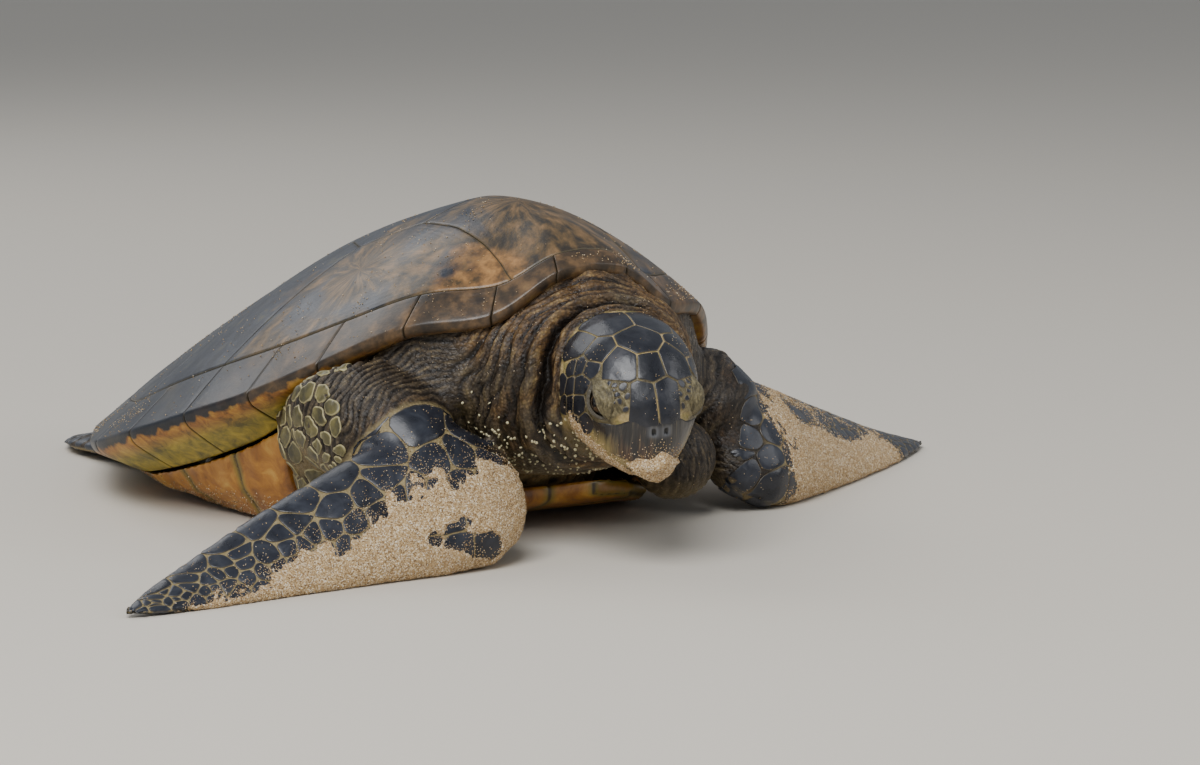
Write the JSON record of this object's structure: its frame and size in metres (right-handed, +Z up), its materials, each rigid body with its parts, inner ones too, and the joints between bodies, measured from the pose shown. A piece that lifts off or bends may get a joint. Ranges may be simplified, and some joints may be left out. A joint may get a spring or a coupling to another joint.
{
  "type": "green sea turtle (Chelonia mydas), life-size still model",
  "caption": "Life-size adult green sea turtle hauled out flat on its belly, head turned a little to its right, front flippers spread to the sides; a still model with no moving parts.",
  "frame": {"origin": "on the floor under the middle of the shell, on the flat underside of the plastron", "axes": "-Y the way the shell faces, +X its left side, +Z up"},
  "size_m": [1.226, 1.1227, 0.3447],
  "materials": {
    "carapace": "glossy slate and brown scutes",
    "marginal": "glossy dark scutes with an orange-olive underside",
    "plastron": "satin orange-brown belly scutes",
    "skin": "matt wrinkled brown skin",
    "head": "satin slate head scales with pale seams",
    "flipper": "satin slate flipper scales with pale seams",
    "beak": "satin streaked horn",
    "jaw": "matt olive-yellow jaw skin",
    "eye": "high gloss dark eye"
  },
  "bodies": {
    "root": {"beak_lower": "beak", "beak_upper": "beak", "bridge_left": "plastron", "bridge_right": "plastron", "costal_left_1": "carapace", "costal_left_2": "carapace", "costal_left_3": "carapace", "costal_left_4": "carapace", "costal_right_1": "carapace", "costal_right_2": "carapace", "costal_right_3": "carapace", "costal_right_4": "carapace", "eye_left": "eye", "eye_right": "eye", "front_flipper_left": "flipper", "front_flipper_right": "flipper", "head": "head", "hind_flipper_left": "flipper", "hind_flipper_right": "flipper", "lower_jaw": "jaw", "marginals_left": "marginal", "marginals_right": "marginal", "neck": "skin", "nuchal": "marginal", "plastron": "plastron", "tail": "skin", "thigh_left": "skin", "thigh_right": "skin", "trunk": "skin", "upper_arm_left": "skin", "upper_arm_right": "skin", "vertebral_1": "carapace", "vertebral_2": "carapace", "vertebral_3": "carapace", "vertebral_4": "carapace", "vertebral_5": "carapace"}
  },
  "joints": []
}
